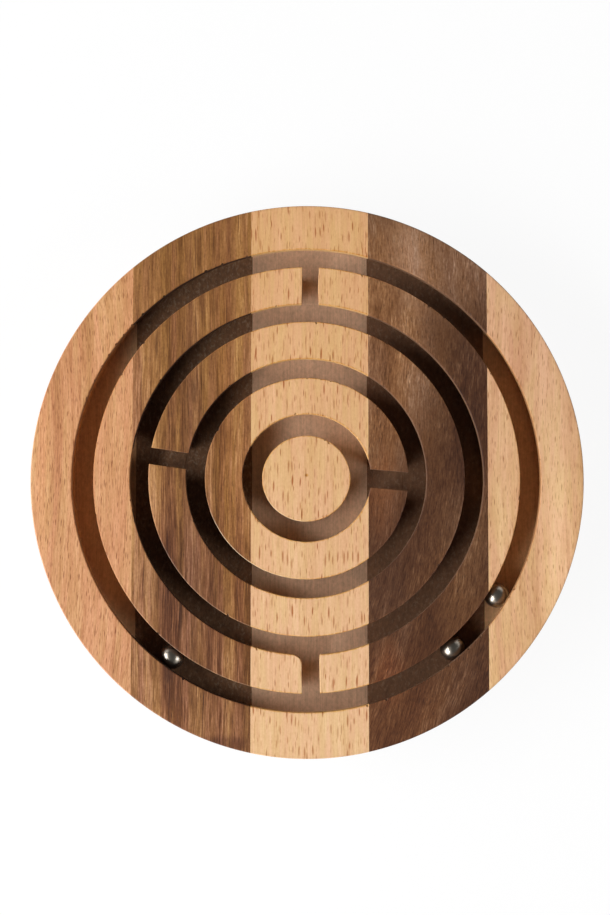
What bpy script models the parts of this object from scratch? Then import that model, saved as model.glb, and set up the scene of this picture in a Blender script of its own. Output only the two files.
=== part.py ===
# Tilt maze: a round board of five glued wooden staves, with four ring tracks joined by gates
# and three steel balls that the undercut tracks hold captive.
# The origin is the centre of the board's underside, with +Z up through the playing face.

import math

import bmesh
import bpy

# Board, in metres
BOARD_RADIUS = 0.065
BOARD_THICKNESS = 0.018
RIM_EASE = 0.0008
RIM_SEGMENTS = 144
RIM_EASE_SEGMENTS = 2

# Staves run along Y, and their seams lie a little to the right of the board's centre
STAVE_WIDTH = 0.028
STAVE_SHIFT = 0.00075
GLUE_GAP = 0.0003

# Tracks: a narrow mouth through the playing face over a wider channel that the balls roll in
TRACK_RADII = (0.0128, 0.02625, 0.0395, 0.0525)
TRACK_SEGMENTS = (48, 72, 96, 120)
MOUTH_WIDTH = 0.0044
CHANNEL_WIDTH = 0.0068
LIP_THICKNESS = 0.002
CHANNEL_HEIGHT = 0.0058

# Gates: index of the inner track, direction in degrees from +X, and mouth width
GATES = {
    "inner_gate": (0, -1.3, 0.0043),
    "middle_gate": (1, 172.0, 0.0034),
    "upper_gate": (2, 89.0, 0.0041),
    "lower_gate": (2, 271.1, 0.0043),
}
GATE_FLOOR_STEP = 0.0001

# The corners where the lower gate meets the third track are cut back, just enough to let a ball in
LOADING_GATE = "lower_gate"
LOADING_CORNERS = {-1: 0.0020, 1: 0.0012}
CORNER_SEGMENTS = 8

# Balls, each at its direction from +X in the outermost track
BALL_RADIUS = 0.003
BALL_CLEARANCE = 0.0002
BALL_DIRECTIONS = {"ball_1": 232.5, "ball_2": 310.9, "ball_3": 328.8}
BALL_SEGMENTS = 24
BALL_RINGS = 16

# How far cutters reach past the faces they cut
OVERLAP = 0.001

LIP_UNDERSIDE = BOARD_THICKNESS - LIP_THICKNESS
CHANNEL_FLOOR = LIP_UNDERSIDE - CHANNEL_HEIGHT
CUTTER_TOP = BOARD_THICKNESS + OVERLAP

# Stave name, wood colour as seen, in 8-bit values, and roughness, from left to right
STAVES = (
    ("stave_left_beech", (214, 158, 114), 0.55),
    ("stave_left_walnut", (146, 103, 68), 0.55),
    ("stave_centre_beech", (224, 176, 124), 0.55),
    ("stave_right_walnut", (98, 68, 48), 0.5),
    ("stave_right_beech", (220, 175, 128), 0.55),
)
STEEL_COLOUR = (150, 148, 145)
STEEL_ROUGHNESS = 0.15


def clear_scene():
    for old in list(bpy.data.objects):
        bpy.data.objects.remove(old)


def linear(value):
    share = value / 255
    if share <= 0.04045:
        return share / 12.92
    return ((share + 0.055) / 1.055) ** 2.4


def plain_material(name, colour, roughness, metallic):
    made = bpy.data.materials.new(name)
    made.use_nodes = True
    shader = made.node_tree.nodes["Principled BSDF"]
    shader.inputs["Base Color"].default_value = [linear(value) for value in colour] + [1]
    shader.inputs["Roughness"].default_value = roughness
    shader.inputs["Metallic"].default_value = metallic
    return made


def place_mesh(name, shape, finish=None):
    bmesh.ops.recalc_face_normals(shape, faces=shape.faces)
    mesh = bpy.data.meshes.new(name)
    shape.to_mesh(mesh)
    shape.free()
    mesh.shade_smooth()
    mesh.set_sharp_from_angle(angle=math.radians(30))
    if finish:
        mesh.materials.append(finish)
    placed = bpy.data.objects.new(name, mesh)
    bpy.context.scene.collection.objects.link(placed)
    return placed


def as_cutter(tool):
    tool.hide_render = True
    tool.display_type = "WIRE"
    return tool


def add_boolean(target, tool, operation):
    step = target.modifiers.new(operation.lower(), "BOOLEAN")
    step.operation = operation
    step.solver = "EXACT"
    step.object = tool


def track_section(mouth, floor, lip, top):
    # Points across a track, as (offset from its centre line, height)
    half_mouth = mouth / 2
    half_channel = CHANNEL_WIDTH / 2
    return (
        (half_channel, floor),
        (half_channel, lip),
        (half_mouth, lip),
        (half_mouth, top),
        (-half_mouth, top),
        (-half_mouth, lip),
        (-half_channel, lip),
        (-half_channel, floor),
    )


def ring_cutter(name, radius, segments):
    shape = bmesh.new()
    section = track_section(MOUTH_WIDTH, CHANNEL_FLOOR, LIP_UNDERSIDE, CUTTER_TOP)
    corners = [shape.verts.new((radius + offset, 0, height)) for offset, height in section]
    for index, corner in enumerate(corners):
        shape.edges.new((corners[index - 1], corner))
    bmesh.ops.spin(
        shape,
        geom=shape.verts[:] + shape.edges[:],
        cent=(0, 0, 0),
        axis=(0, 0, 1),
        angle=math.tau,
        steps=segments,
        use_merge=True,
    )
    bmesh.ops.remove_doubles(shape, verts=shape.verts, dist=1e-6)
    return as_cutter(place_mesh(name, shape))


def gate_cutter(name, inner_track, direction, mouth):
    # The gate's floor and roof sit a hair inside the rings', as a second pass of the cutter leaves them
    shape = bmesh.new()
    section = track_section(
        mouth,
        CHANNEL_FLOOR + GATE_FLOOR_STEP,
        LIP_UNDERSIDE - GATE_FLOOR_STEP,
        CUTTER_TOP + GATE_FLOOR_STEP,
    )
    start = TRACK_RADII[inner_track]
    end = TRACK_RADII[inner_track + 1]
    corners = [shape.verts.new((start, offset, height)) for offset, height in section]
    face = shape.faces.new(corners)
    pulled = bmesh.ops.extrude_face_region(shape, geom=[face])
    moved = [item for item in pulled["geom"] if isinstance(item, bmesh.types.BMVert)]
    bmesh.ops.translate(shape, verts=moved, vec=(end - start, 0, 0))
    cutter = place_mesh(name, shape)
    cutter.rotation_euler.z = math.radians(direction)
    return as_cutter(cutter)


def corner_cutter(name, gate, side, radius):
    # Rounds off one lip corner, between the gate's edge and the outer edge of the gate's inner track
    inner_track, direction, mouth = GATES[gate]
    edge = side * mouth / 2
    track_edge = TRACK_RADII[inner_track] + MOUTH_WIDTH / 2
    centre_y = edge + side * radius
    centre_x = math.sqrt((track_edge + radius) ** 2 - centre_y ** 2)
    first = math.radians(-90 * side)
    last = math.atan2(-centre_y, -centre_x)
    outline = []
    for step in range(CORNER_SEGMENTS + 1):
        turn = first + (last - first) * step / CORNER_SEGMENTS
        outline.append((centre_x + radius * math.cos(turn), centre_y + radius * math.sin(turn)))
    end_x, end_y = outline[-1]
    outline.append((end_x - OVERLAP, end_y))
    outline.append((end_x - OVERLAP, edge - side * OVERLAP))
    outline.append((outline[0][0], edge - side * OVERLAP))
    bottom = LIP_UNDERSIDE - OVERLAP
    shape = bmesh.new()
    face = shape.faces.new([shape.verts.new((x, y, bottom)) for x, y in outline])
    pulled = bmesh.ops.extrude_face_region(shape, geom=[face])
    moved = [item for item in pulled["geom"] if isinstance(item, bmesh.types.BMVert)]
    bmesh.ops.translate(shape, verts=moved, vec=(0, 0, CUTTER_TOP + 2 * GATE_FLOOR_STEP - bottom))
    cutter = place_mesh(name, shape)
    cutter.rotation_euler.z = math.radians(direction)
    return as_cutter(cutter)


def maze_cutter():
    rings = []
    for number, (radius, segments) in enumerate(zip(TRACK_RADII, TRACK_SEGMENTS), start=1):
        rings.append(ring_cutter(f"track_{number}_cutter", radius, segments))
    cutters = rings[1:]
    for name, (inner_track, direction, mouth) in GATES.items():
        cutters.append(gate_cutter(f"{name}_cutter", inner_track, direction, mouth))
    for side, radius in LOADING_CORNERS.items():
        hand = "left" if side < 0 else "right"
        cutters.append(corner_cutter(f"loading_corner_{hand}", LOADING_GATE, side, radius))
    whole = rings[0]
    for cutter in cutters:
        add_boolean(whole, cutter, "UNION")
    return whole


def board_blank(name, finish):
    # A round blank with lightly eased rims, before it is cut down to one stave
    shape = bmesh.new()
    bmesh.ops.create_circle(shape, cap_ends=True, segments=RIM_SEGMENTS, radius=BOARD_RADIUS)
    pulled = bmesh.ops.extrude_face_region(shape, geom=shape.faces[:])
    moved = [item for item in pulled["geom"] if isinstance(item, bmesh.types.BMVert)]
    bmesh.ops.translate(shape, verts=moved, vec=(0, 0, BOARD_THICKNESS))
    rims = [edge for edge in shape.edges if edge.verts[0].co.z == edge.verts[1].co.z]
    bmesh.ops.bevel(shape, geom=rims, offset=RIM_EASE, segments=RIM_EASE_SEGMENTS, profile=0.5, affect="EDGES")
    return place_mesh(name, shape, finish)


def stave_slab(name, left, right):
    shape = bmesh.new()
    reach = BOARD_RADIUS + OVERLAP
    low = (left, -reach, -OVERLAP)
    high = (right, reach, CUTTER_TOP)
    bmesh.ops.create_cube(shape, size=1)
    for corner in shape.verts:
        corner.co = [high[axis] if corner.co[axis] > 0 else low[axis] for axis in range(3)]
    return as_cutter(place_mesh(name, shape))


def make_staves():
    cutter = maze_cutter()
    reach = BOARD_RADIUS + OVERLAP
    last = len(STAVES) - 1
    for index, (name, colour, roughness) in enumerate(STAVES):
        left = STAVE_SHIFT + (index - last / 2 - 0.5) * STAVE_WIDTH + GLUE_GAP / 2
        right = left + STAVE_WIDTH - GLUE_GAP
        if index == 0:
            left = -reach
        if index == last:
            right = reach
        stave = board_blank(name, plain_material(name, colour, roughness, 0))
        add_boolean(stave, stave_slab(f"{name}_slab", left, right), "INTERSECT")
        add_boolean(stave, cutter, "DIFFERENCE")


def make_balls():
    centre_height = CHANNEL_FLOOR + BALL_CLEARANCE + BALL_RADIUS
    for name, direction in BALL_DIRECTIONS.items():
        # The pivot stands on the board's axis, which the ball circles in its track
        pivot = bpy.data.objects.new(f"{name}_pivot", None)
        pivot.rotation_euler.z = math.radians(direction)
        bpy.context.scene.collection.objects.link(pivot)
        shape = bmesh.new()
        bmesh.ops.create_uvsphere(shape, u_segments=BALL_SEGMENTS, v_segments=BALL_RINGS, radius=BALL_RADIUS)
        ball = place_mesh(name, shape, plain_material(name, STEEL_COLOUR, STEEL_ROUGHNESS, 1))
        ball.location = (TRACK_RADII[-1], 0, centre_height)
        ball.parent = pivot


clear_scene()
make_staves()
make_balls()
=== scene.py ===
import math

import bmesh
import bpy
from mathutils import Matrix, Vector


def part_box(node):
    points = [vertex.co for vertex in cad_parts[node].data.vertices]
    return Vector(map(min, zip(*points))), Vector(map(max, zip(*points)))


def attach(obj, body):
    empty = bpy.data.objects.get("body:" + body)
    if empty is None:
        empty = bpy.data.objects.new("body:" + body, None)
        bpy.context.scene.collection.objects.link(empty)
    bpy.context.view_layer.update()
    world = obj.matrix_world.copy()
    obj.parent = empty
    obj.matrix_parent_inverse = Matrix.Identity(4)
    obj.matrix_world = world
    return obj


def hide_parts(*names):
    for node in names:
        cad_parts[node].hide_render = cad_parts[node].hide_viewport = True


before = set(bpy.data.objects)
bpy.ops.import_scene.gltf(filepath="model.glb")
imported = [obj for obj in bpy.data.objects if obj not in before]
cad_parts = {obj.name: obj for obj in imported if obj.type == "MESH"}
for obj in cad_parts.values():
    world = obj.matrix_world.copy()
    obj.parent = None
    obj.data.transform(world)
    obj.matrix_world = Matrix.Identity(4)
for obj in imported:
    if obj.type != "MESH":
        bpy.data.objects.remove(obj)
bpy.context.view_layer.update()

scene = bpy.context.scene
scene.view_settings.view_transform = "Standard"


class Wire:  # a node socket that can stand in Python sums
    def __init__(self, bench, socket):
        self.bench = bench
        self.socket = socket

    def sum(self, operation, first, second=0.0):
        return self.bench.add("ShaderNodeMath", {"operation": operation}, {0: first, 1: second})

    def __add__(self, other):
        return self.sum("ADD", self, other)

    def __radd__(self, other):
        return self.sum("ADD", other, self)

    def __sub__(self, other):
        return self.sum("SUBTRACT", self, other)

    def __rsub__(self, other):
        return self.sum("SUBTRACT", other, self)

    def __mul__(self, other):
        return self.sum("MULTIPLY", self, other)

    def __rmul__(self, other):
        return self.sum("MULTIPLY", other, self)

    def __truediv__(self, other):
        return self.sum("DIVIDE", self, other)

    def __rtruediv__(self, other):
        return self.sum("DIVIDE", other, self)

    def __pow__(self, other):
        return self.sum("POWER", self, other)

    def __abs__(self):
        return self.sum("ABSOLUTE", self)

    def __gt__(self, other):
        return self.sum("GREATER_THAN", self, other)

    def __lt__(self, other):
        return self.sum("LESS_THAN", self, other)


class Bench:  # adds nodes to one tree, for shaders and for geometry
    def __init__(self, tree):
        self.tree = tree

    def find(self, sockets, key):
        if isinstance(key, int):
            return sockets[key]
        exact = [socket for socket in sockets if socket.identifier == key]
        return (exact or [socket for socket in sockets if socket.name == key])[0]

    def add(self, kind, settings=None, sockets=None, out=0):
        node = self.tree.nodes.new(kind)
        for key, value in (settings or {}).items():
            if key == "stops":  # a ramp's colours
                ramp = node.color_ramp
                while len(ramp.elements) < len(value):
                    ramp.elements.new(1)
                for element, (position, colour) in zip(ramp.elements, value):
                    element.position = position
                    element.color = colour
            elif key == "captures":  # fields that travel with a geometry
                for label, form in value:
                    node.capture_items.new(form, label)
            else:
                setattr(node, key, value)
        for key, value in (sockets or {}).items():
            socket = self.find(node.inputs, key)
            for item in value if isinstance(value, list) else [value]:
                if isinstance(item, Wire):
                    self.tree.links.new(item.socket, socket)
                else:
                    socket.default_value = item
        if isinstance(out, tuple):
            return tuple(Wire(self, self.find(node.outputs, key)) for key in out)
        return Wire(self, self.find(node.outputs, out))

    def ease(self, value, low, high):  # 0 at low, 1 at high, soft between them
        return self.add("ShaderNodeMapRange", {"interpolation_type": "SMOOTHSTEP"},
                        {"Value": value, "From Min": low, "From Max": high})

    def most(self, first, second):
        return self.add("ShaderNodeMath", {"operation": "MAXIMUM"}, {0: first, 1: second})

    def point(self, x, y, z=0.0):
        return self.add("ShaderNodeCombineXYZ", None, {0: x, 1: y, 2: z})

    def mix(self, factor, first, second, blend="MIX"):
        return self.add("ShaderNodeMix", {"data_type": "RGBA", "blend_type": blend},
                        {"Factor_Float": factor, "A_Color": first, "B_Color": second}, "Result_Color")

    def noise(self, point, detail=2.0, rough=0.5):
        return self.add("ShaderNodeTexNoise", None,
                        {"Vector": point, "Scale": 1.0, "Detail": detail, "Roughness": rough}, "Fac")

    def vector(self, operation, first, second, out="Vector"):
        return self.add("ShaderNodeVectorMath", {"operation": operation}, {0: first, 1: second}, out)

    def scaled(self, vector, factor):
        return self.add("ShaderNodeVectorMath", {"operation": "SCALE"}, {0: vector, "Scale": factor})

    def away(self, x, y):  # length in plan
        return self.vector("LENGTH", self.point(x, y), (0, 0, 0), "Value")


def tint(red, green, blue):  # 8-bit colour to Blender's linear
    def linear(value):
        share = value / 255
        return share / 12.92 if share <= 0.04045 else ((share + 0.055) / 1.055) ** 2.4
    return (linear(red), linear(green), linear(blue), 1.0)


def darker(colour, share):
    return tuple(value * share for value in colour[:3]) + (1,)


def newFinish(name):
    finish = bpy.data.materials.new(name)
    finish.use_nodes = True
    return finish, Bench(finish.node_tree), finish.node_tree.nodes["Principled BSDF"]


def feed(bench, shader, **sockets):
    for name, value in sockets.items():
        socket = shader.inputs[name.replace("_", " ")]
        if isinstance(value, Wire):
            bench.tree.links.new(value.socket, socket)
        else:
            socket.default_value = value


def newPiece(name, data):
    piece = bpy.data.objects.new(name, data)
    scene.collection.objects.link(piece)
    return piece


# the board and its tracks, in metres
boardLook = dict(
    radius=0.065,
    thickness=0.018,
    rimEase=0.0003,      # rounding of both rims
    rimSteps=6,
    rimSides=480,
    seams=(-0.0411, -0.0132, 0.0144, 0.04245),
    weld=1e-6,           # points closer than this become one
    level=0.9995,        # a face is flat where its normal stands this upright
    crease=38.0,         # edges that turn more than this, in degrees, stay sharp
)

trackLook = dict(
    # each ring: nominal radius, then inner and outer edge as (radius, shift right, shift up, oval)
    rings=(
        (0.01280, (0.01023, -0.00020, 0.00026, 0.00014), (0.01508, -0.00010, 0.00042, 0.00008)),
        (0.02625, (0.02378, -0.00013, 0.00031, 0.00010), (0.02822, -0.00020, 0.00038, 0.00008)),
        (0.03950, (0.03707, -0.00014, 0.00031, 0.00008), (0.04144, -0.00010, 0.00026, 0.00018)),
        (0.05250, (0.05012, -0.00011, 0.00018, 0.00001), (0.05480, -0.00024, 0.00014, 0.00034)),
    ),
    channelHalf=0.0034,
    lip=0.002,
    channelHeight=0.0058,
    lipWide=0.00026,     # worn edge of the mouth, broad and shallow
    lipDeep=0.00006,
    lipTurn=78.0,        # how far round the wear goes, in degrees
    lipRise=0.2,         # the cutter widens until this far above the face, as a share of lipDeep
    lipSteps=4,
    footRound=0.0002,    # corner at the channel's floor
    footSteps=3,
    spacing=0.0007,      # between stations along a track
    gateSpacing=0.0004,
    overlap=0.001,
    wander=0.00006,      # how far the cut edges stray
    wanderScale=260.0,
    wanderApart=9.7,     # sets a track's two edges apart in the noise
    chipGap=0.0046,
    chipShare=0.30,
    chipInset=0.00012,   # from the mouth's edge to the middle of a chip
    chipLeast=(0.00026, 0.00030, 0.00015),   # half size across, along and deep
    chipLargest=(0.00042, 0.0008, 0.0005),
    seed=7,
    notchInset=0.35,     # from the edge to the middle of a notch, as a share of its half size across
    # torn-out notches: ring, its outer or inner edge, direction in degrees, half size across, along and deep
    notches=(
        (3, 1, 151.0, (0.00030, 0.00036, 0.0005)), (3, 1, 147.8, (0.00036, 0.00040, 0.0006)),
        (3, 1, 144.6, (0.00052, 0.00050, 0.0008)), (3, 1, 141.8, (0.00034, 0.00044, 0.0006)),
        (3, 1, 138.6, (0.00042, 0.00050, 0.0007)), (3, 1, 134.9, (0.00036, 0.00060, 0.0006)),
        (3, 1, 128.0, (0.00036, 0.00046, 0.0006)), (3, 1, 115.9, (0.00050, 0.00056, 0.0008)),
        (3, 1, 111.5, (0.00034, 0.00050, 0.0006)), (3, 1, 332.3, (0.00048, 0.00062, 0.0008)),
        (3, 1, 318.0, (0.00036, 0.00060, 0.0007)), (3, 1, 313.9, (0.00044, 0.00062, 0.0008)),
        (3, 1, 307.5, (0.00034, 0.00056, 0.0006)), (3, 1, 238.0, (0.00034, 0.00056, 0.0006)),
        (3, -1, 226.0, (0.00030, 0.00050, 0.0005)), (2, 1, 146.0, (0.00030, 0.00046, 0.0005)),
        (1, -1, 82.0, (0.00030, 0.00040, 0.0005)), (1, -1, 76.5, (0.00036, 0.00044, 0.0006)),
        (1, -1, 71.0, (0.00032, 0.00040, 0.0005)), (0, 1, 290.0, (0.00030, 0.00040, 0.0005)),
        (0, -1, 66.0, (0.00030, 0.00044, 0.0005)),
    ),
    pinMark=((-0.0001, 0.00104), (0.00032, 0.00026, 0.00009)),  # where the centre of the compass cutter stood
)

# gates: inner track, direction in degrees, then (share of the way out, half width on its right hand and its left)
gateLook = dict(
    gates=dict(
        innerGate=(0, -1.3, ((0.0, 0.00137, 0.00293), (1.0, 0.00224, 0.00206))),
        middleGate=(1, 172.0, ((0.0, 0.0022, 0.0015), (1.0, 0.0024, 0.0015))),
        upperGate=(2, 89.0, ((0.0, 0.00212, 0.0020), (0.5, 0.00182, 0.0020), (1.0, 0.00196, 0.00202))),
        lowerGate=(2, 271.1, ((0.0, 0.00215, 0.00205), (1.0, 0.00215, 0.00205))),
    ),
    tight=0.00005,        # a gate's floor and roof stand this far inside the rings'
    loadingGate="lowerGate",
    loadingRight=0.0020,  # its inner corner on this side is well rounded, where the balls go in
    loadingLeft=0.0004,   # the other one is barely rubbed
)


def trackSection():
    # points round the cutter: side, is at the mouth, extra half width, height, eased by
    look = trackLook
    top = boardLook["thickness"]
    roof = top - look["lip"]
    floor = roof - look["channelHeight"]
    half = []
    for step in range(look["footSteps"] + 1):
        turn = math.pi / 2 * step / look["footSteps"]
        inset, lift = math.sin(turn) - 1, 1 - math.cos(turn)
        half.append((0, look["footRound"] * inset, floor + look["footRound"] * lift, 1))
    half.append((0, 0, roof, -1))
    half.append((1, 0, roof, -1))
    last = math.radians(look["lipTurn"])
    for step in range(look["lipSteps"] + 1):
        turn = last * step / look["lipSteps"]
        half.append((1, look["lipWide"] * (1 - math.cos(turn)), top + look["lipDeep"] * (math.sin(turn) - 1), 0))
    half.append((1, look["lipWide"], top + look["lipDeep"] * look["lipRise"], 0))
    half.append((1, half[-1][1], top + look["overlap"], 0))
    right = [(1, *row) for row in half]
    left = [(-1, *row) for row in reversed(half)]
    return right + left


def gateHalf(rows, share):  # half widths on the right hand and the left, this share of the way out
    for (low, lowRight, lowLeft), (high, highRight, highLeft) in zip(rows, rows[1:]):
        if share <= high:
            part = (share - low) / (high - low)
            if len(rows) > 2:  # a waisted gate, without a kink
                part = part * part * (3 - 2 * part)
            return lowRight + (highRight - lowRight) * part, lowLeft + (highLeft - lowLeft) * part
    return rows[-1][1:]


def cornerRound(distance, radius):  # extra half width at this distance from the track's edge
    if distance >= radius or radius == 0:
        return 0.0
    away = radius - max(distance, 0)
    return radius - math.sqrt(max(radius * radius - away * away, 0))


def ringEdge(row, turn):
    radius, right, up, oval = row
    return radius + right * math.cos(turn) + up * math.sin(turn) + oval * math.cos(2 * turn)


def trackPaths():
    # stations along every track and gate: place, across, half width on each side, gate or not
    paths = []
    for radius, inner, outer in trackLook["rings"]:
        count = round(math.tau * radius / trackLook["spacing"])
        rows = []
        for index in range(count):
            turn = -math.tau * index / count  # clockwise, so that the swept faces look outward
            across = (math.cos(turn), math.sin(turn), 0)
            place = (radius * across[0], radius * across[1], 0)
            rows.append((place, across, radius - ringEdge(inner, turn), ringEdge(outer, turn) - radius, 0.0))
        paths.append((rows, True))
    for name, (inner, direction, widths) in gateLook["gates"].items():
        start, end = trackLook["rings"][inner][0], trackLook["rings"][inner + 1][0]
        turn = math.radians(direction)
        along = (math.cos(turn), math.sin(turn))
        across = (-along[1], along[0], 0)
        count = round((end - start) / trackLook["gateSpacing"])
        edge = ringEdge(trackLook["rings"][inner][2], turn)
        rows = []
        for index in range(count + 1):
            share = index / count
            reach = start + (end - start) * share
            right, left = gateHalf(widths, share)
            if name == gateLook["loadingGate"]:
                left += cornerRound(reach - edge, gateLook["loadingLeft"])
                right += cornerRound(reach - edge, gateLook["loadingRight"])
            rows.append(((along[0] * reach, along[1] * reach, 0), across, right, left, 1.0))
        paths.append((rows, False))
    return paths


def notchPlaces():
    for ring, edge, direction, size in trackLook["notches"]:
        turn = math.radians(direction)
        row = trackLook["rings"][ring][2 if edge > 0 else 1]
        reach = ringEdge(row, turn) - edge * size[0] * trackLook["notchInset"]
        yield (reach * math.cos(turn), reach * math.sin(turn)), size
    yield trackLook["pinMark"]


def planMesh():
    # the cutter's section and the tracks' centre lines, as loose edges with their widths as attributes
    section = trackSection()
    gap = 0.001  # only keeps the section's points apart until the tree places them
    points = [(gap * index, 0, row[3]) for index, row in enumerate(section)]
    edges = [(index, (index + 1) % len(section)) for index in range(len(section))]
    fields = {
        "section": [1.0] * len(section),
        "side": [float(row[0]) for row in section],
        "mouth": [float(row[1]) for row in section],
        "grow": [row[2] for row in section],
        "level": [row[3] for row in section],
        "eased": [float(row[4]) for row in section],
        "minusHalf": [0.0] * len(section),
        "plusHalf": [0.0] * len(section),
        "gate": [0.0] * len(section),
    }
    across = [(1.0, 0.0, 0.0)] * len(section)
    for rows, closed in trackPaths():
        first = len(points)
        for place, aside, minusHalf, plusHalf, gate in rows:
            points.append(place)
            across.append(aside)
            for name, value in (("minusHalf", minusHalf), ("plusHalf", plusHalf), ("gate", gate)):
                fields[name].append(value)
            for name in ("section", "side", "mouth", "grow", "level", "eased"):
                fields[name].append(0.0)
        edges += [(first + index, first + index + 1) for index in range(len(rows) - 1)]
        if closed:
            edges.append((len(points) - 1, first))
    fields["notch"] = [0.0] * len(points)
    sizes = [(0.0, 0.0, 0.0)] * len(points)
    for (x, y), size in notchPlaces():
        points.append((x, y, boardLook["thickness"]))
        across.append((1.0, 0.0, 0.0))
        sizes.append(size)
        for name in fields:
            fields[name].append(1.0 if name == "notch" else 0.0)
    mesh = bpy.data.meshes.new("trackPlan")
    mesh.from_pydata(points, edges, [])
    for name, values in fields.items():
        mesh.attributes.new(name, "FLOAT", "POINT").data.foreach_set("value", values)
    for name, rows in (("across", across), ("notchSize", sizes)):
        flat = [value for row in rows for value in row]
        mesh.attributes.new(name, "FLOAT_VECTOR", "POINT").data.foreach_set("vector", flat)
    return mesh


def trackTree():
    # sweeps the cutter along every track, chips the edges, and cuts one stave out of the blank
    tree = bpy.data.node_groups.new("cutTracks", "GeometryNodeTree")
    tree.interface.new_socket("Blank", in_out="INPUT", socket_type="NodeSocketGeometry")
    for label, form in (
        ("Plan", "Object"), ("Left Seam", "Float"), ("Right Seam", "Float"), ("Reach", "Float"), ("Top", "Float"),
        ("Channel Half", "Float"), ("Tight", "Float"), ("Wander", "Float"), ("Wander Scale", "Float"),
        ("Wander Apart", "Float"), ("Chip Gap", "Float"), ("Chip Share", "Float"), ("Chip Inset", "Float"),
        ("Chip Least", "Vector"), ("Chip Largest", "Vector"), ("Seed", "Int"), ("Finish", "Material"),
    ):
        tree.interface.new_socket(label, in_out="INPUT", socket_type=f"NodeSocket{form}")
    tree.interface.new_socket("Stave", in_out="OUTPUT", socket_type="NodeSocketGeometry")
    bench = Bench(tree)
    given = tree.nodes.new("NodeGroupInput")
    want = {socket.name: Wire(bench, socket) for socket in given.outputs}

    def field(name, form="FLOAT"):
        return bench.add("GeometryNodeInputNamedAttribute", {"data_type": form}, {"Name": name}, "Attribute")

    plan = bench.add("GeometryNodeObjectInfo", None, {"Object": want["Plan"]}, "Geometry")
    sectionEdges, pathEdges = bench.add(
        "GeometryNodeSeparateGeometry", {"domain": "POINT"},
        {"Geometry": plan, "Selection": field("section") > 0.5}, ("Selection", "Inverted"))
    sectionCurve = bench.add("GeometryNodeMeshToCurve", None, {"Mesh": sectionEdges})
    pathCurve = bench.add("GeometryNodeMeshToCurve", None, {"Mesh": pathEdges})

    section, side, mouth, grow, level, eased = bench.add(
        "GeometryNodeCaptureAttribute",
        {"domain": "POINT", "captures": [(name, "FLOAT") for name in ("side", "mouth", "grow", "level", "eased")]},
        {0: sectionCurve, 1: field("side"), 2: field("mouth"), 3: field("grow"), 4: field("level"), 5: field("eased")},
        (0, 1, 2, 3, 4, 5))
    middle = bench.add("GeometryNodeInputPosition")
    paths, centre, across, minusHalf, plusHalf, gate = bench.add(
        "GeometryNodeCaptureAttribute",
        {"domain": "POINT", "captures": [("centre", "VECTOR"), ("across", "VECTOR"), ("minusHalf", "FLOAT"),
                                         ("plusHalf", "FLOAT"), ("gate", "FLOAT")]},
        {0: pathCurve, 1: middle, 2: field("across", "FLOAT_VECTOR"), 3: field("minusHalf"), 4: field("plusHalf"),
         5: field("gate")},
        (0, 1, 2, 3, 4, 5))
    swept = bench.add("GeometryNodeCurveToMesh", None, {"Curve": paths, "Profile Curve": section, "Fill Caps": True})

    def strayed(sideField):  # the edge's own small wander along its track
        spot = bench.scaled(centre, want["Wander Scale"])
        apart = bench.vector("ADD", spot, bench.point(sideField * want["Wander Apart"], want["Seed"] * 1.0))
        return (bench.noise(apart, 3.0, 0.6) - 0.5) * 2.0 * want["Wander"]

    def edgeHalf(sideField):
        outer = sideField > 0.0
        return plusHalf * outer + minusHalf * (1.0 - outer)

    def aside(off, height):  # a place beside the track's centre line
        beside = bench.vector("ADD", centre, bench.scaled(across, off))
        return bench.vector("ADD", beside, bench.point(0.0, 0.0, height))

    width = mouth * edgeHalf(side) + (1.0 - mouth) * want["Channel Half"] + grow
    off = side * width + strayed(side)
    height = level + eased * gate * want["Tight"]
    cutters = bench.add("GeometryNodeSetPosition", None, {"Geometry": swept, "Position": aside(off, height)})
    gates, rings = bench.add("GeometryNodeSeparateGeometry", {"domain": "FACE"},
                             {"Geometry": cutters, "Selection": gate > 0.5}, ("Selection", "Inverted"))

    # torn-out chips along the mouth's edges, drawn out along the grain
    spots = bench.add("GeometryNodeCurveToPoints", {"mode": "LENGTH"},
                      {"Curve": paths, "Length": want["Chip Gap"]}, "Points")

    def chance(low, high, shift, form="FLOAT"):  # each draw shifts the seed by its own amount
        keys = ("Min_001", "Max_001", "Value_001") if form == "FLOAT" else ("Min", "Max", "Value")
        return bench.add("FunctionNodeRandomValue", {"data_type": form},
                         {keys[0]: low, keys[1]: high, "Seed": want["Seed"] + float(shift)}, keys[2])

    handSide = (chance(0.0, 1.0, 11) > 0.5) * 2.0 - 1.0
    edgeOff = handSide * (edgeHalf(handSide) - want["Chip Inset"])
    moved = bench.add("GeometryNodeSetPosition", None, {"Geometry": spots, "Position": aside(edgeOff, want["Top"])})
    blob = bench.add("GeometryNodeMeshIcoSphere", None, {"Radius": 1.0, "Subdivisions": 2})
    chipSize = chance(want["Chip Least"], want["Chip Largest"], 23, "FLOAT_VECTOR")
    chips = bench.add("GeometryNodeInstanceOnPoints", None, {
        "Points": moved, "Selection": chance(0.0, 1.0, 31) < want["Chip Share"], "Instance": blob, "Scale": chipSize})
    chipMesh = bench.add("GeometryNodeRealizeInstances", None, {0: chips})
    notchSpots = bench.add("GeometryNodeSeparateGeometry", {"domain": "POINT"},
                           {"Geometry": plan, "Selection": field("notch") > 0.5})
    notches = bench.add("GeometryNodeInstanceOnPoints", None, {
        "Points": notchSpots, "Instance": blob, "Scale": field("notchSize", "FLOAT_VECTOR")})
    notchMesh = bench.add("GeometryNodeRealizeInstances", None, {0: notches})

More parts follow.
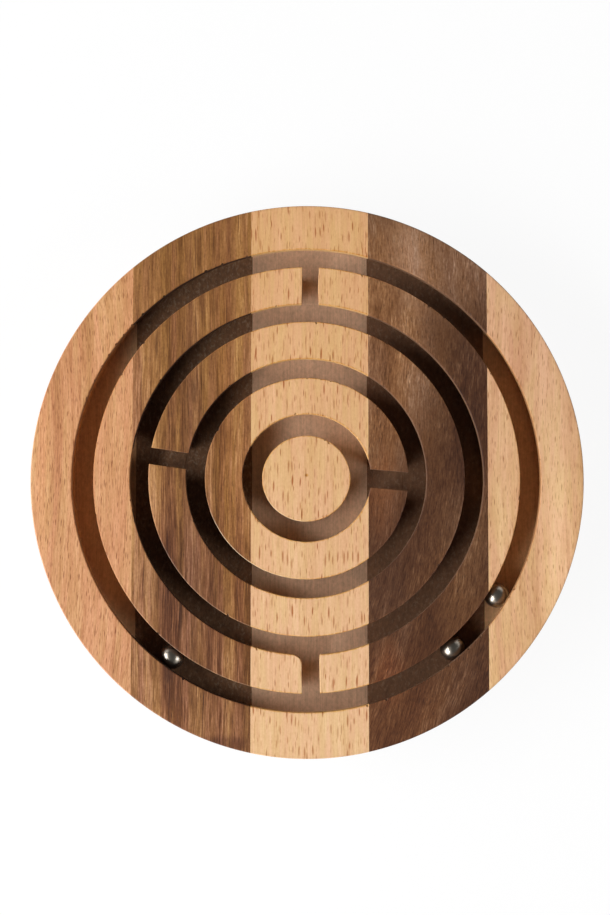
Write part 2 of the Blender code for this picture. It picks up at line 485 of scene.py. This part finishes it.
    slab = bench.add("GeometryNodeMeshCube", None, {"Size": bench.point(
        want["Right Seam"] - want["Left Seam"], want["Reach"] * 2.0, want["Reach"] * 2.0)}, "Mesh")
    slabPlaced = bench.add("GeometryNodeTransform", None, {
        "Geometry": slab, "Translation": bench.point((want["Left Seam"] + want["Right Seam"]) * 0.5, 0.0, 0.0)})
    solver = {"solver": "MANIFOLD"}
    stave = bench.add("GeometryNodeMeshBoolean", {"operation": "INTERSECT", **solver},
                      {"Mesh 2": [want["Blank"], slabPlaced]}, "Mesh")
    cut = bench.add("GeometryNodeMeshBoolean", {"operation": "DIFFERENCE", **solver},
                    {"Mesh 1": stave, "Mesh 2": [rings, gates, chipMesh, notchMesh]}, "Mesh")
    whole = bench.add("GeometryNodeRealizeInstances", None, {0: cut})
    dressed = bench.add("GeometryNodeSetMaterial", None, {"Geometry": whole, "Material": want["Finish"]})
    result = tree.nodes.new("NodeGroupOutput")
    tree.links.new(dressed.socket, result.inputs[0])
    return tree


def turnedBlank():
    look = boardLook
    shape = bmesh.new()
    bmesh.ops.create_circle(shape, cap_ends=True, segments=look["rimSides"], radius=look["radius"])
    pulled = bmesh.ops.extrude_face_region(shape, geom=shape.faces[:])
    lifted = [item for item in pulled["geom"] if isinstance(item, bmesh.types.BMVert)]
    bmesh.ops.translate(shape, verts=lifted, vec=(0, 0, look["thickness"]))
    rims = [edge for edge in shape.edges if edge.verts[0].co.z == edge.verts[1].co.z]
    bmesh.ops.bevel(shape, geom=rims, offset=look["rimEase"], segments=look["rimSteps"], profile=0.5, affect="EDGES")
    bmesh.ops.recalc_face_normals(shape, faces=shape.faces)
    mesh = bpy.data.meshes.new("turnedBlank")
    shape.to_mesh(mesh)
    shape.free()
    return mesh


def softenShading(mesh):
    # flat faces stay flat, and turned or rounded ones run smooth
    shape = bmesh.new()
    shape.from_mesh(mesh)
    bmesh.ops.remove_doubles(shape, verts=shape.verts, dist=boardLook["weld"])
    bmesh.ops.dissolve_degenerate(shape, edges=shape.edges, dist=boardLook["weld"])
    shape.normal_update()
    for face in shape.faces:
        face.smooth = True
    crease = math.cos(math.radians(boardLook["crease"]))
    for edge in shape.edges:
        if len(edge.link_faces) != 2:
            continue
        one, two = edge.link_faces
        level = [abs(face.normal.z) > boardLook["level"] for face in (one, two)]
        edge.smooth = level[0] == level[1] and one.normal.dot(two.normal) > crease
    shape.to_mesh(mesh)
    shape.free()


def grainSpace(bench):  # the piece's own millimetres: across the grain, along it, and up
    place = bench.add("ShaderNodeTexCoord", None, None, "Object")
    return bench.add("ShaderNodeSeparateXYZ", None, {0: bench.scaled(place, 1000.0)}, ("X", "Y", "Z"))


# the five staves, left to right; sizes in millimetres, colours in 8 bits, tints as shares
# edge tints the line on mouths' edges that look to the rim, on the walnuts partly a painted highlight; innerEdge is
# painted shade on those that look inwards, golden on the centre stave
staveLooks = dict(
    leftBeechStave=dict(
        node="stave_left_beech", slot="beech_left", shift=11.0,
        tones=((180, 125, 84), (199, 144, 101), (209, 155, 112), (222, 170, 128)),
        ends=((0.99, 1.00, 1.02), (0.97, 0.95, 0.88)),
        arch=(0.0008, 4.0), drift=2.4, waver=0.6, force=(1.0, 1.0),
        bands=(0.30, 0.010, 0.9), streaks=(1.0, 0.05, 0.5), fines=(3.8, 0.15, 1.5),
        hues=(0.50, 0.03, (1.02, 0.96, 0.99), (0.98, 1.02, 0.95)),
        lines=(2.6, 0.12, 0.60, 0.76, (0.80, 0.70, 0.63)),
        flecks=((0.58, 4.4, 0.12, 0.29, 0.0, (0.48, 0.34, 0.25)), (0.44, 3.2, 0.10, 0.30, 0.0, (0.64, 0.52, 0.42))),
        mottle=(0.93, 0.89, 0.85),
        lipSide=(146, 98, 62), walls=(208, 155, 104), floor=(212, 168, 124), fuzz=0.12,
        fibre=(0.94, 0.86, 0.72), edge=(0.90, 0.78, 0.52), innerEdge=(0.80, 0.74, 0.66),
        stains=(((-62.4, 4.0), (2.2, 34.0), (1.07, 1.08, 1.06)), ((-58.9, 0.0), (1.5, 30.0), (0.93, 0.89, 0.88)),
                ((-53.0, 26.0), (6.0, 14.0), (0.94, 0.92, 0.90))),
    ),
    leftWalnutStave=dict(
        node="stave_left_walnut", slot="walnut_left", shift=37.0,
        tones=((101, 61, 27), (135, 91, 51), (157, 110, 68), (189, 142, 97)),
        ends=((0.90, 0.86, 0.92), (1.02, 1.00, 0.90)),
        arch=(0.0, 0.0), drift=1.2, waver=0.7, force=(1.4, 0.80),
        bands=(0.16, 0.008, 1.2), streaks=(0.9, 0.028, 1.1), fines=(3.4, 0.15, 1.15),
        hues=(0.40, 0.012, (0.97, 0.91, 1.04), (1.02, 1.05, 0.89)),
        lines=(1.7, 0.05, 0.60, 0.72, (0.52, 0.45, 0.42)),
        flecks=((0.50, 4.2, 0.08, 0.28, 0.0, (0.55, 0.48, 0.46)), (0.45, 5.0, 0.06, 0.26, 0.5, (1.38, 1.36, 1.28))),
        mottle=(0.80, 0.75, 0.69),
        lipSide=(62, 38, 22), walls=(84, 46, 20), floor=(126, 90, 62), fuzz=0.54,
        fibre=(0.96, 0.92, 0.84), edge=(1.30, 1.24, 1.10), innerEdge=(0.80, 0.74, 0.66),
        stains=(((-27.0, 4.0), (2.8, 60.0), (0.82, 0.80, 0.86)), ((-19.6, 10.0), (2.2, 40.0), (1.14, 1.13, 1.02)),
                ((-29.0, -30.0), (9.0, 26.0), (0.84, 0.80, 0.86)), ((-19.0, -61.4), (6.5, 2.2), (0.58, 0.50, 0.50)),
                ((-15.6, -14.0), (3.2, 34.0), (1.22, 1.22, 1.16)), ((-35.5, 31.5), (0.4, 4.5), (0.52, 0.46, 0.43)),
                ((-25.6, 55.0), (0.8, 5.5), (0.66, 0.58, 0.53)), ((-24.6, 42.0), (0.9, 4.5), (0.72, 0.66, 0.68)),
                ((-26.6, 21.0), (0.8, 3.4), (0.62, 0.58, 0.58)), ((-29.6, -32.5), (0.5, 5.0), (0.50, 0.45, 0.46)),
                ((-32.6, -45.0), (0.9, 3.2), (0.66, 0.65, 0.66)), ((-32.5, -57.0), (5.0, 5.0), (1.45, 1.55, 1.60)),
                ((-27.0, -24.0), (15.0, 9.0), (0.88, 0.87, 0.86)), ((-27.0, 1.0), (15.0, 12.0), (1.10, 1.13, 1.14))),
    ),
    centreBeechStave=dict(
        node="stave_centre_beech", slot="beech_centre", shift=63.0,
        tones=((210, 162, 116), (221, 176, 130), (227, 184, 138), (236, 195, 152)),
        ends=((1.00, 1.03, 1.09), (0.93, 0.87, 0.79)),
        arch=(0.0, 0.0), drift=2.0, waver=0.7, force=(1.0, 1.0),
        bands=(0.22, 0.010, 0.6), streaks=(1.3, 0.035, 0.8), fines=(4.0, 0.09, 1.1),
        hues=(0.60, 0.06, (1.01, 0.97, 1.01), (0.99, 1.02, 0.94)),
        lines=(2.4, 0.09, 0.60, 0.78, (0.86, 0.78, 0.68)),
        flecks=((1.10, 7.6, 0.10, 0.28, 0.0, (0.53, 0.29, 0.14)), (0.66, 5.0, 0.08, 0.28, 0.3, (0.70, 0.50, 0.34))),
        mottle=(0.94, 0.90, 0.86),
        lipSide=(204, 162, 110), walls=(208, 170, 130), floor=(208, 172, 142), fuzz=0.14,
        fibre=(0.87, 0.75, 0.44), edge=(0.88, 0.77, 0.48), innerEdge=(0.88, 0.77, 0.48),
        stains=(((-0.1, 1.04), (0.50, 0.42), (0.74, 0.64, 0.34)),),
    ),
    rightWalnutStave=dict(
        node="stave_right_walnut", slot="walnut_right", shift=91.0,
        tones=((54, 29, 11), (74, 45, 25), (88, 58, 36), (115, 84, 60)),
        ends=((1.12, 1.06, 1.02), (1.12, 1.18, 1.29)),
        arch=(0.0016, 40.0), drift=3.0, waver=1.2, force=(0.95, 0.90),
        bands=(0.10, 0.020, 1.0), streaks=(0.60, 0.08, 0.9), fines=(3.0, 0.36, 1.25),
        hues=(0.13, 0.04, (0.98, 0.96, 1.03), (1.07, 1.00, 0.90)),
        lines=(2.2, 0.10, 0.60, 0.74, (0.74, 0.69, 0.64)),
        flecks=((0.50, 3.2, 0.10, 0.31, 0.2, (0.44, 0.38, 0.35)), (0.42, 3.4, 0.08, 0.28, 0.9, (1.75, 1.72, 1.64))),
        mottle=(0.76, 0.72, 0.68),
        lipSide=(102, 72, 50), walls=(92, 52, 24), floor=(124, 88, 62), fuzz=0.30,
        fibre=(1.15, 1.12, 1.08), edge=(1.55, 1.45, 1.25), innerEdge=(0.80, 0.74, 0.66),
        stains=(((17.5, 34.0), (14.0, 40.0), (2.70, 3.05, 3.15)), ((34.0, 55.0), (14.0, 18.0), (2.20, 2.65, 3.40)),
                ((19.0, -45.0), (4.0, 8.0), (1.18, 1.04, 0.98)), ((37.0, -22.0), (7.0, 22.0), (1.44, 1.62, 1.72)),
                ((20.0, -54.0), (13.0, 18.0), (1.22, 1.18, 1.14)), ((40.0, 14.0), (8.0, 26.0), (0.68, 0.59, 0.53)),
                ((17.5, -5.0), (5.0, 12.0), (1.40, 1.30, 1.20))),
    ),
    rightBeechStave=dict(
        node="stave_right_beech", slot="beech_right", shift=127.0,
        tones=((201, 152, 110), (213, 167, 124), (220, 175, 131), (229, 186, 143)),
        ends=((1.04, 1.06, 1.05), (0.94, 0.92, 0.95)),
        arch=(-0.0006, 0.0), drift=2.5, waver=0.7, force=(1.0, 1.1),
        bands=(0.24, 0.008, 1.6), streaks=(1.0, 0.04, 1.0), fines=(3.8, 0.16, 1.3),
        hues=(0.45, 0.05, (1.01, 0.96, 1.01), (0.99, 1.02, 0.94)),
        lines=(2.6, 0.10, 0.60, 0.78, (0.88, 0.80, 0.73)),
        flecks=((0.62, 5.0, 0.09, 0.25, 0.0, (0.56, 0.42, 0.31)), (0.46, 4.0, 0.08, 0.27, 0.0, (0.74, 0.62, 0.51))),
        mottle=(0.95, 0.92, 0.89),
        lipSide=(142, 100, 62), walls=(214, 164, 112), floor=(214, 172, 128), fuzz=0.12,
        fibre=(0.98, 0.92, 0.80), edge=(0.90, 0.78, 0.52), innerEdge=(0.80, 0.74, 0.66),
        stains=(((49.2, 4.0), (2.6, 44.0), (0.95, 0.90, 0.88)), ((50.5, 30.0), (3.4, 15.0), (0.88, 0.81, 0.79)),
                ((62.0, -22.0), (10.0, 34.0), (1.11, 1.13, 1.14))),
    ),
)


# what the five woods share, in millimetres; pairs named Edge, Out or Depth are where a mask is 0 and where it is 1
woodLook = dict(
    tip=62.0,                                # the end tints are full this far down and up the board
    drift=(0.02, 0.012, 0.03),               # noise scales across the grain, along it and up
    waver=(0.15, 0.09, 0.15),
    lean=0.07,                               # how the growth lines lean with height
    strandUp=0.15, strandRough=0.62,
    bandAside=13.0, hueAside=31.0, lineAside=57.0,  # set the strands apart from each other
    toneFirst=0.12, toneStep=0.25,           # places of the four tones on the ramp
    stainEdge=(1.25, 0.35),                  # in shares of the stain's reach
    stainStreak=0.6, stainFine=0.4,          # how ragged the grain makes a stain
    hueEdge=(0.34, 0.66),
    cluster=(0.11, 0.06), clusterEdge=(0.44, 0.60),
    fleckWobble=0.15, fleckEdge=(1.0, 0.35), fleckDark=0.7,
    fleckRim=0.8, fleckOut=(64.3, 64.8), fleckDepth=(0.15, 0.6),  # the rim loses this share of the flecks
    mottle=(2.6, 1.5, 2.6), mottleEdge=(0.30, 0.75),
    trackDepth=9.0, trackOut=62.0,           # everything cut by the tracks lies within these
    wallDepth=(0.08, 0.30), lipDepth=(2.05, 1.95), floorDepth=(7.0, 7.4), wearAndPaintedLightDepth=(0.002, 0.02),
    speck=(1.5, 1.0, 1.5), speckShare=0.45, speckFuzz=1.5,  # how far the cut walls vary, and more where fuzzy
    roughFine=0.5, roughStreak=0.4,
    fuzz=(1.6, 1.0, 1.6), fuzzEdge=(0.50, 0.72), fuzzTint=(172, 142, 116),
    wearAndPaintedLightLeast=0.5, wearAndPaintedLightSpeck=0.8,
    tuft=(1.6, 0.8), tuftEdge=(0.36, 0.62), fibreEdge=(0.45, 0.08),
    outwardEdge=(0.02, 0.12), inwardEdge=(-0.02, -0.12),
    paintedGlintRight=-0.57, paintedGlintDown=0.82,      # the way to the edges that get a painted highlight
    paintedGlintEdge=(0.72, 0.95), paintedGlintOut=(33.0, 27.0), paintedGlintInner=0.46, paintedGlintOuter=0.12,
    paintedGlintLeast=0.7, paintedGlintTuft=0.8, paintedGlintTint=(232, 210, 174),
    # the rim's band, for the end grain and for a faint painted shade
    rimOut=(64.2, 64.7), rimShadeShare=0.15, rimShadeTint=(0.72, 0.66, 0.62),
    endEdge=(0.45, 0.95), endDepth=(0.2, 0.9), endTint=(0.62, 0.56, 0.52),
    bumpStrength=0.25, bumpDistance=0.00008, bumpMarks=0.6, bumpLines=0.4,  # this distance is in metres
    roughness=0.5, wallRough=0.22, fineRough=0.12, gloss=0.35,
)


def woodFinish(name, look):
    wood = woodLook
    finish, bench, shader = newFinish(name)
    x, y, z = grainSpace(bench)
    depth = boardLook["thickness"] * 1000 - z
    out = bench.away(x, y)
    apart = x + look["shift"]

    def cloud(scales, detail, rough=0.5, across=x):
        return bench.noise(bench.point(across * scales[0], y * scales[1], z * scales[2]), detail, rough)

    # growth lines: straight or arched along the stave, wandering a little, leaning with height
    bend, crown = look["arch"]
    rise = y - crown
    drift = (cloud(wood["drift"], 1.0, across=apart) - 0.5) * look["drift"]
    waver = (cloud(wood["waver"], 2.0, across=apart) - 0.5) * look["waver"]
    growth = apart + drift + waver + rise * rise * bend + z * wood["lean"]

    def strand(scale, run, detail=2.0, aside=0.0):  # noise drawn out along the grain
        spot = bench.point(growth * scale + aside, y * run, z * scale * wood["strandUp"])
        return bench.noise(spot, detail, wood["strandRough"])

    # multiplies the colour by a tint where the mask is; used for real marks and for painted light and shade alike
    def multiplyTint(base, mask, tintBy):
        return bench.mix(mask, base, bench.mix(1.0, base, tintBy + (1,), "MULTIPLY"))

    bandScale, bandRun, bandShare = look["bands"]
    streakScale, streakRun, streakShare = look["streaks"]
    fineScale, fineRun, fineShare = look["fines"]
    fine = strand(fineScale, fineRun)
    bandOff = strand(bandScale, bandRun, 1.0, wood["bandAside"]) - 0.5
    streakOff = strand(streakScale, streakRun, 3.0) - 0.5
    fineOff = fine - 0.5
    upward = bench.ease(y, -wood["tip"], wood["tip"])
    low, high = look["force"]
    force = upward * (high - low) + low
    tone = (bandOff * bandShare + streakOff * streakShare + fineOff * fineShare) * force + 0.5
    stops = [(wood["toneFirst"] + wood["toneStep"] * index, tint(*row)) for index, row in enumerate(look["tones"])]
    colour = bench.add("ShaderNodeValToRGB", {"stops": stops}, {"Fac": tone}, "Color")
    near, far = look["ends"]
    colour = bench.mix(1.0, colour, bench.mix(upward, near + (1,), far + (1,)), "MULTIPLY")
    raggedStreak, raggedFine = streakOff * wood["stainStreak"], fineOff * wood["stainFine"]
    for (midX, midY), (reachX, reachY), tintBy in look["stains"]:  # soft stains and heart streaks
        offX, offY = (x - midX) / reachX, (y - midY) / reachY
        patch = bench.ease((offX * offX + offY * offY) ** 0.5 + raggedStreak + raggedFine, *wood["stainEdge"])
        colour = multiplyTint(colour, patch, tintBy)
    # streaks that lean to a cooler or a warmer brown, and thin dark lines between them
    hueScale, hueRun, cool, warm = look["hues"]
    warmth = bench.ease(strand(hueScale, hueRun, 2.0, wood["hueAside"]), *wood["hueEdge"])
    colour = bench.mix(1.0, colour, bench.mix(warmth, cool + (1,), warm + (1,)), "MULTIPLY")
    lineScale, lineRun, lineFrom, lineTo, lineTint = look["lines"]
    lines = bench.ease(strand(lineScale, lineRun, 2.0, wood["lineAside"]), lineFrom, lineTo)
    colour = multiplyTint(colour, lines, lineTint)
    # rays or pores: short dashes along the grain, fainter on the rim
    marks = 0.0
    side = bench.ease(out, *wood["fleckOut"]) * bench.ease(depth, *wood["fleckDepth"])
    clusterX, clusterY = wood["cluster"]
    cluster = bench.noise(bench.point(x * clusterX + look["shift"], y * clusterY))
    cluster = bench.ease(cluster, *wood["clusterEdge"])
    for across, along, least, largest, patchy, fleckTint in look["flecks"]:
        spot = bench.point((growth + fineOff * wood["fleckWobble"]) / across + along, y / along)
        gap, cell = bench.add("ShaderNodeTexVoronoi", {"voronoi_dimensions": "2D"}, {"Vector": spot, "Scale": 1.0},
                              ("Distance", "Color"))
        size, dark = bench.add("ShaderNodeSeparateColor", None, {0: cell}, ("Red", "Green"))
        fleck = bench.ease(gap / (size * (largest - least) + least), *wood["fleckEdge"])
        fleck = fleck * (dark * wood["fleckDark"] + (1 - wood["fleckDark"]))
        fleck = fleck * (cluster * patchy + (1 - patchy)) * (1 - side * wood["fleckRim"])
        colour = multiplyTint(colour, fleck, fleckTint)
        marks = marks + fleck
    colour = multiplyTint(colour, bench.ease(cloud(wood["mottle"], 2.0, 0.6), *wood["mottleEdge"]), look["mottle"])
    # inside the tracks: the lips' walls in their own colour, clean channel walls and a rough fuzzy floor
    inside = (depth < wood["trackDepth"]) * (out < wood["trackOut"])
    wall = bench.ease(depth, *wood["wallDepth"]) * inside
    floor = bench.ease(depth, *wood["floorDepth"])
    speck = cloud(wood["speck"], 2.0, 0.7)
    speckShare = look["fuzz"] * wood["speckFuzz"] + wood["speckShare"]
    rough = (speck - 0.5) * speckShare + fineOff * wood["roughFine"] + streakOff * wood["roughStreak"] + 1.0
    cut = bench.mix(floor, tint(*look["walls"]), tint(*look["floor"]))
    cut = bench.mix(bench.ease(depth, *wood["lipDepth"]), cut, tint(*look["lipSide"]))
    cut = bench.vector("MULTIPLY", cut, bench.point(rough, rough, rough))
    fuzz = bench.ease(cloud(wood["fuzz"], 2.0, 0.7), *wood["fuzzEdge"])
    cut = bench.mix(floor * fuzz * look["fuzz"], cut, tint(*wood["fuzzTint"]))
    # torn fibres on the face, along each mouth
    beside = 0.0
    spread = (x * x - y * y) / (out * out) * 1000  # how an oval edge swells to the sides and shrinks to the ends
    for ring in trackLook["rings"]:
        for radius, right, up, oval in ring[1:]:
            away = bench.away(x - right * 1000, y - up * 1000)
            beside = beside + bench.ease(abs(away - spread * oval - radius * 1000), *wood["fibreEdge"])
    tuftX, tuftY = wood["tuft"]
    tuft = bench.noise(bench.point(x * tuftX, y * tuftY), 2.0, 0.6)
    colour = multiplyTint(colour, beside * bench.ease(tuft, *wood["tuftEdge"]), look["fibre"])
    # the worn line along the mouths' edges; on the side that looks to the rim it is partly a painted highlight of the
    # lit lip
    worn = bench.ease(depth, *wood["wearAndPaintedLightDepth"]) * inside * (wood["wearAndPaintedLightLeast"] + speck * wood["wearAndPaintedLightSpeck"])
    normal = bench.add("ShaderNodeNewGeometry", None, None, "Normal")
    facing = bench.vector("DOT_PRODUCT", normal, bench.point(x, y), "Value") / out
    outward = worn * bench.ease(facing, *wood["outwardEdge"])
    colour = multiplyTint(colour, outward, look["edge"])
    # painted highlight along the edges towards the lower left, most of all on the inner tracks
    towards = (x * wood["paintedGlintRight"] - y * wood["paintedGlintDown"]) / out
    nearer = bench.ease(out, *wood["paintedGlintOut"]) * wood["paintedGlintInner"] + wood["paintedGlintOuter"]
    paintedGlint = bench.ease(towards, *wood["paintedGlintEdge"]) * nearer
    paintedGlint = outward * paintedGlint * (tuft * wood["paintedGlintTuft"] + wood["paintedGlintLeast"])
    colour = bench.mix(paintedGlint, colour, tint(*wood["paintedGlintTint"]))
    # painted shade on the edges that look inwards, damping their lit line; a golden line on the centre stave
    colour = multiplyTint(colour, worn * bench.ease(facing, *wood["inwardEdge"]), look["innerEdge"])
    colour = bench.mix(wall, colour, cut)
    # end grain round the two ends of the stave, and faint painted shade along the eased rim
    rim = bench.ease(out, *wood["rimOut"])
    endGrain = rim * bench.ease(abs(y) / out, *wood["endEdge"]) * bench.ease(depth, *wood["endDepth"])
    colour = multiplyTint(colour, endGrain, wood["endTint"])
    colour = multiplyTint(colour, rim * wood["rimShadeShare"], wood["rimShadeTint"])
    height = fine - marks * wood["bumpMarks"] - lines * wood["bumpLines"] + speck * wall
    bump = bench.add("ShaderNodeBump", None, {
        "Strength": wood["bumpStrength"], "Distance": wood["bumpDistance"], "Height": height}, "Normal")
    roughness = wood["roughness"] + wall * wood["wallRough"] + fineOff * wood["fineRough"]
    feed(bench, shader, Base_Color=colour, Roughness=roughness, Specular_IOR_Level=wood["gloss"], Normal=bump)
    return finish


def makeStaves():
    tree = trackTree()
    keys = {item.name: item.identifier for item in tree.interface.items_tree if item.in_out == "INPUT"}
    plan = newPiece("trackPlan", planMesh())
    blank = turnedBlank()
    reach = boardLook["radius"] + trackLook["overlap"]
    edges = (-reach, *boardLook["seams"], reach)
    for index, (name, look) in enumerate(staveLooks.items()):
        finish = woodFinish(name + "Wood", look)
        rough = newPiece(name + "Blank", blank)
        step = rough.modifiers.new("cutTracks", "NODES")
        step.node_group = tree
        for label, value in (
            ("Plan", plan), ("Left Seam", edges[index]), ("Right Seam", edges[index + 1]), ("Reach", reach),
            ("Top", boardLook["thickness"]), ("Channel Half", trackLook["channelHalf"]), ("Tight", gateLook["tight"]),
            ("Wander", trackLook["wander"]), ("Wander Scale", trackLook["wanderScale"]),
            ("Wander Apart", trackLook["wanderApart"]), ("Chip Gap", trackLook["chipGap"]),
            ("Chip Share", trackLook["chipShare"]), ("Chip Inset", trackLook["chipInset"]),
            ("Chip Least", trackLook["chipLeast"]), ("Chip Largest", trackLook["chipLargest"]),
            ("Seed", trackLook["seed"]), ("Finish", finish),
        ):
            step[keys[label]] = value
        graph = bpy.context.evaluated_depsgraph_get()
        mesh = bpy.data.meshes.new_from_object(rough.evaluated_get(graph), depsgraph=graph)
        bpy.data.objects.remove(rough)
        mesh.name = name
        softenShading(mesh)
        stave = newPiece(name, mesh)
        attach(stave, "board")
        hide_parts(look["node"])
        print(f"stave: {name}, {len(mesh.polygons)} faces")
    bpy.data.objects.remove(plan)


ballLook = dict(
    names=dict(firstBall="ball_1", secondBall="ball_2", thirdBall="ball_3"),
    # warmer than plain steel: a painted warm reflection of the brown wood round the balls
    colour=(174, 165, 152),
    worn=0.82,            # how dark the hazy patches are
    hazeScale=0.9, hazeEdge=(0.35, 0.7), fineScale=14.0,
    roughness=0.29, hazeRough=0.06, fineRough=0.04,
    rounds=5,
)


def steelFinish():
    look = ballLook
    finish, bench, shader = newFinish("polishedSteel")
    x, y, z = grainSpace(bench)
    wide, small = look["hazeScale"], look["fineScale"]
    haze = bench.noise(bench.point(x * wide, y * wide, z * wide), 3.0, 0.6)
    fine = bench.noise(bench.point(x * small, y * small, z * small))
    steel = tint(*look["colour"])
    colour = bench.mix(bench.ease(haze, *look["hazeEdge"]), steel, darker(steel, look["worn"]))
    feed(bench, shader, Base_Color=colour, Metallic=1.0,
         Roughness=look["roughness"] + (haze - 0.5) * look["hazeRough"] + (fine - 0.5) * look["fineRough"])
    return finish


def makeBalls():
    finish = steelFinish()
    for name, node in ballLook["names"].items():
        low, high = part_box(node)
        centre = (low + high) / 2
        shape = bmesh.new()
        bmesh.ops.create_icosphere(shape, subdivisions=ballLook["rounds"], radius=(high - low)[2] / 2)
        bmesh.ops.translate(shape, verts=shape.verts, vec=centre)
        mesh = bpy.data.meshes.new(name)
        shape.to_mesh(mesh)
        shape.free()
        mesh.shade_smooth()
        mesh.materials.append(finish)
        ball = newPiece(name, mesh)
        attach(ball, node)
        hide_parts(node)
    print(f"balls: {len(ballLook['names'])}")


studioLook = dict(
    floorReach=1.6, wallHeight=1.3, sweep=0.5, sweepSteps=12, sides=96,
    pale=(246, 246, 246),
    mottleScale=0.02, mottleShare=0.985,
    roughness=0.75, mottleRough=0.1, gloss=0.1,
    white=0.92,           # share of plain white that the camera sees in the floor
    ambient=0.02,         # weak light from all round
    seenRoom=0.09,        # how pale the room looks in the steel
    boxAway=0.85, boxTilt=58.0,
    # a broad softbox at the left and a weak one at the right: direction in degrees, watts, height and width
    boxes=dict(leftSoftbox=(196.0, 14.9, (0.42, 1.05)), rightSoftbox=(-22.0, 2.1, (0.28, 0.38))),
)


def sweptFloor():  # a round floor that curves up into a wall
    look = studioLook
    shape = bmesh.new()
    rim = [(look["floorReach"], 0.0)]
    for step in range(1, look["sweepSteps"] + 1):
        turn = math.pi / 2 * step / look["sweepSteps"]
        rim.append((look["floorReach"] + look["sweep"] * math.sin(turn), look["sweep"] * (1 - math.cos(turn))))
    rim.append((rim[-1][0], look["wallHeight"]))
    sides = look["sides"]
    turns = [math.tau * side / sides for side in range(sides)]
    rings = []
    for reach, height in rim:
        rings.append([shape.verts.new((reach * math.cos(turn), reach * math.sin(turn), height)) for turn in turns])
    shape.faces.new(rings[0])
    for lower, upper in zip(rings, rings[1:]):
        for side in range(sides):
            after = (side + 1) % sides
            shape.faces.new((lower[after], lower[side], upper[side], upper[after]))
    mesh = bpy.data.meshes.new("studioFloor")
    shape.to_mesh(mesh)
    shape.free()
    mesh.shade_smooth()
    return mesh


def floorFinish():  # pale, and nearly white to the camera, with the object's shadow kept
    look = studioLook
    finish, bench, shader = newFinish("paleFloor")
    x, y, z = grainSpace(bench)
    scale = look["mottleScale"]
    mottle = bench.noise(bench.point(x * scale, y * scale, z * scale), 3.0)
    pale = tint(*look["pale"])
    colour = bench.mix(mottle, pale, darker(pale, look["mottleShare"]))
    feed(bench, shader, Base_Color=colour, Roughness=look["roughness"] + mottle * look["mottleRough"],
         Specular_IOR_Level=look["gloss"])
    camera, glossy, through = bench.add("ShaderNodeLightPath", None, None,
                                        ("Is Camera Ray", "Is Glossy Ray", "Is Transmission Ray"))
    white = bench.add("ShaderNodeEmission", None, {"Color": (1, 1, 1, 1), "Strength": 1.0})
    seen = bench.add("ShaderNodeMixShader", None, {
        0: bench.most(bench.most(camera, glossy), through) * look["white"],
        1: Wire(bench, shader.outputs["BSDF"]), 2: white})
    output = finish.node_tree.nodes["Material Output"]
    finish.node_tree.links.new(seen.socket, output.inputs["Surface"])
    return finish


def dimRoom():  # a dark room, a little paler where the steel mirrors it
    look = studioLook
    world = bpy.data.worlds.new("dimRoom")
    scene.world = world
    world.use_nodes = True
    bench = Bench(world.node_tree)
    mirrored = bench.add("ShaderNodeLightPath", None, None, "Is Glossy Ray")
    strength = mirrored * (look["seenRoom"] - look["ambient"]) + look["ambient"]
    feed(bench, world.node_tree.nodes["Background"], Color=(1, 1, 1, 1), Strength=strength)


def softbox(name, turn, power, size):
    lamp = bpy.data.lights.new(name, "AREA")
    lamp.shape = "RECTANGLE"
    lamp.size, lamp.size_y = size
    lamp.energy = power
    box = newPiece(name, lamp)
    off, tilt = math.radians(turn), math.radians(studioLook["boxTilt"])
    away = studioLook["boxAway"]
    box.location = (away * math.sin(tilt) * math.cos(off), away * math.sin(tilt) * math.sin(off),
                    boardLook["thickness"] + away * math.cos(tilt))
    box.rotation_euler = (0, tilt, off)
    box.visible_camera = False


def makeStudio():
    floor = newPiece("studioFloor", sweptFloor())
    floor.data.materials.append(floorFinish())
    dimRoom()
    for name, row in studioLook["boxes"].items():
        softbox(name, *row)
    print("studio: floor, room and two softboxes")


cameraLook = dict(
    lens=55.0, sensor=36.0,          # in millimetres
    nearest=0.01,
    distance=0.3285, elevation=87.0,
    aim=(-0.0005, 0.0052, 0.018),
)


def makeCamera():
    look = cameraLook
    data = bpy.data.cameras.new("photoCamera")
    data.lens = look["lens"]
    data.sensor_width = look["sensor"]
    data.clip_start = look["nearest"]
    data.dof.use_dof = False
    camera = newPiece("photoCamera", data)
    lift = math.radians(look["elevation"])
    x, y, z = look["aim"]
    camera.location = (x, y - look["distance"] * math.cos(lift), z + look["distance"] * math.sin(lift))
    camera.rotation_euler = (math.pi / 2 - lift, 0, 0)
    scene.camera = camera
    print("camera: set")


makeCamera()
makeStudio()
makeStaves()
makeBalls()

bpy.context.view_layer.update()
